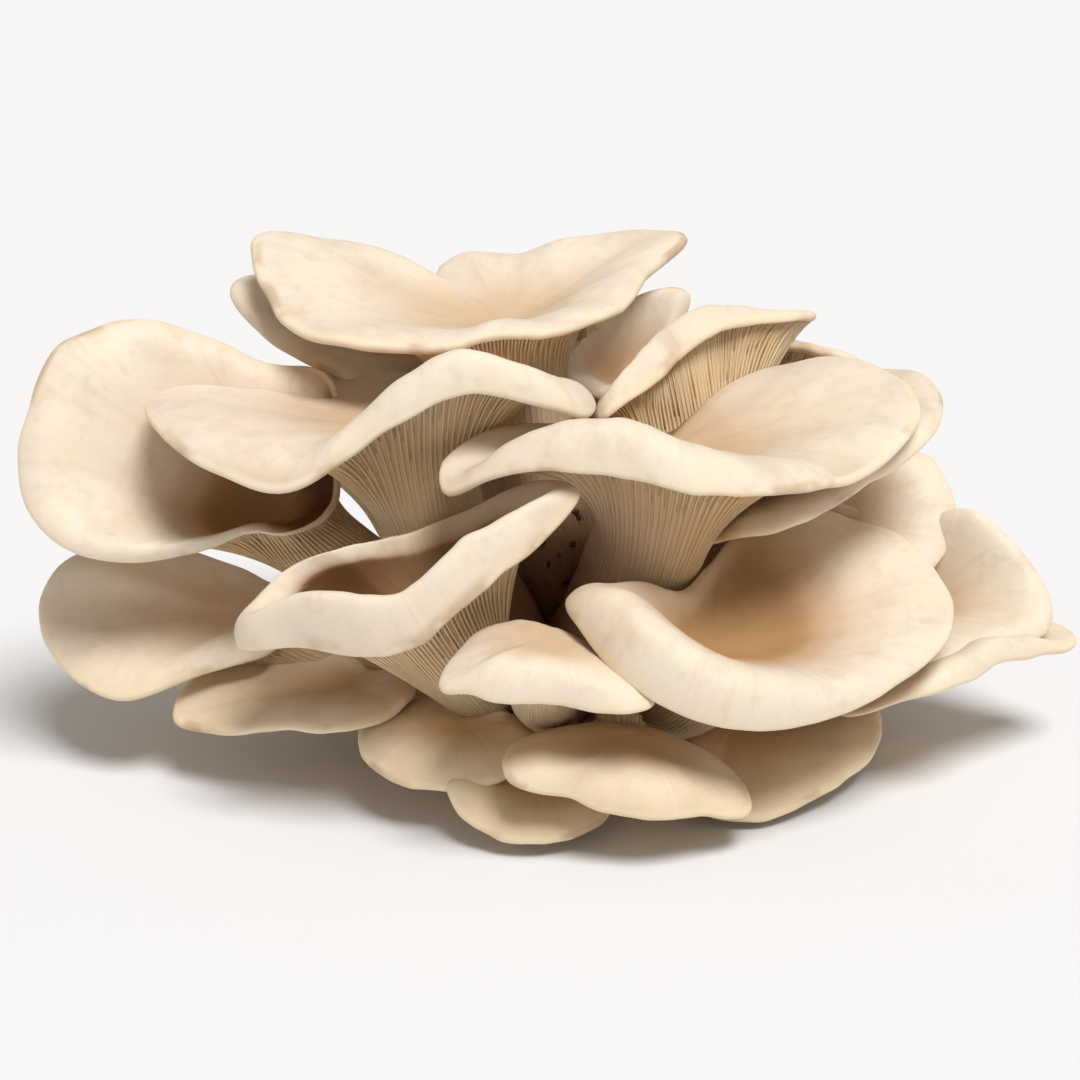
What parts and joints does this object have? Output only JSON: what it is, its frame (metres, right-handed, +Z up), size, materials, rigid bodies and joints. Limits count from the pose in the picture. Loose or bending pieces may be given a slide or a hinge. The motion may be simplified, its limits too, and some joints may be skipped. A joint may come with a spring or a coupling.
{
  "type": "oyster mushroom cluster",
  "caption": "Cluster of oyster mushrooms: broad wavy fan and funnel caps with gills running down short stems that join in one butt.",
  "frame": {"origin": "on the table, under the middle of the cluster's bounding box", "axes": "+Z up, out of the tops of the caps; +X along the cluster's widest direction, to the right seen from the front; -Y to the front"},
  "size_m": [0.2188, 0.147, 0.106],
  "materials": {
    "mushroom_flesh": null,
    "butt_flesh": null
  },
  "bodies": {
    "root": {"butt": "butt_flesh", "mushroom_centre_funnel": "mushroom_flesh", "mushroom_left_saddle": "mushroom_flesh", "mushroom_front_bowl": "mushroom_flesh", "mushroom_top": "mushroom_flesh", "mushroom_left_fan": "mushroom_flesh", "mushroom_left_curl": "mushroom_flesh", "mushroom_centre_shell": "mushroom_flesh", "mushroom_front_shell": "mushroom_flesh", "mushroom_right_wing": "mushroom_flesh", "mushroom_upper_right": "mushroom_flesh", "mushroom_front_left_shell": "mushroom_flesh", "mushroom_front_foot": "mushroom_flesh", "mushroom_low_right": "mushroom_flesh", "mushroom_right_middle": "mushroom_flesh", "mushroom_far_right": "mushroom_flesh", "mushroom_far_right_fold": "mushroom_flesh", "mushroom_left_low": "mushroom_flesh", "mushroom_left_foot": "mushroom_flesh", "mushroom_upper_rear_left": "mushroom_flesh", "mushroom_rear_peak": "mushroom_flesh", "mushroom_rear_upper_right": "mushroom_flesh", "mushroom_rear_centre": "mushroom_flesh", "mushroom_rear_left": "mushroom_flesh", "mushroom_rear_mid_right": "mushroom_flesh", "mushroom_rear_low_right": "mushroom_flesh", "mushroom_rear_low_centre": "mushroom_flesh", "mushroom_rear_low_left": "mushroom_flesh"}
  },
  "joints": []
}
